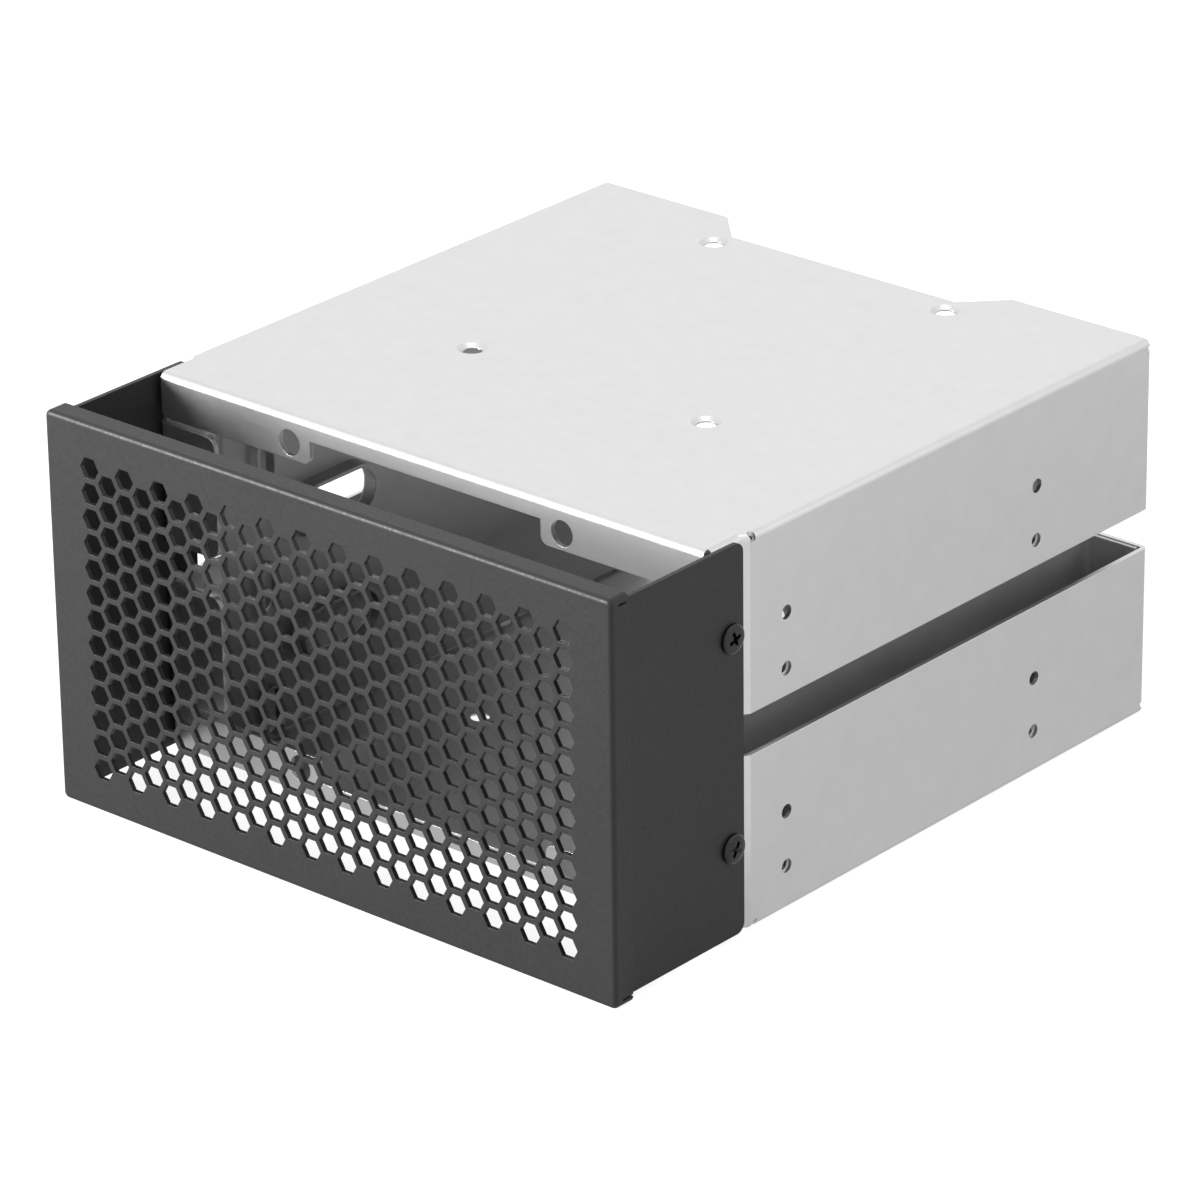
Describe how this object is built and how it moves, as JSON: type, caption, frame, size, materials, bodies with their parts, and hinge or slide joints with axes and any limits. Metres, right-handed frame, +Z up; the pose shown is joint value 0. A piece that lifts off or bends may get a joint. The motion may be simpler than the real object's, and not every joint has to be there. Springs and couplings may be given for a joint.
{
  "type": "hard drive cage",
  "caption": "Open steel drive cage for two stacked bays, with a black honeycomb front, fan space and slotted drive walls.",
  "frame": {"origin": "under the middle of the cage, at the height of the front's lower edge", "axes": "+Z up, +Y from the honeycomb front to the open rear, +X to the right seen from the front"},
  "size_m": [0.148, 0.17, 0.0854],
  "materials": {
    "black_powder_coat": "fine textured satin powder coat",
    "bare_steel": "bare galvanised sheet, satin",
    "black_screw": "black oxide, satin"
  },
  "bodies": {
    "root": {"front_grille": "black_powder_coat", "left_side_plate": "black_powder_coat", "right_side_plate": "black_powder_coat", "upper_channel": "bare_steel", "lower_channel": "bare_steel", "left_drive_wall": "bare_steel", "right_drive_wall": "bare_steel", "left_upper_screw": "black_screw", "left_lower_screw": "black_screw", "right_upper_screw": "black_screw", "right_lower_screw": "black_screw"}
  },
  "joints": []
}
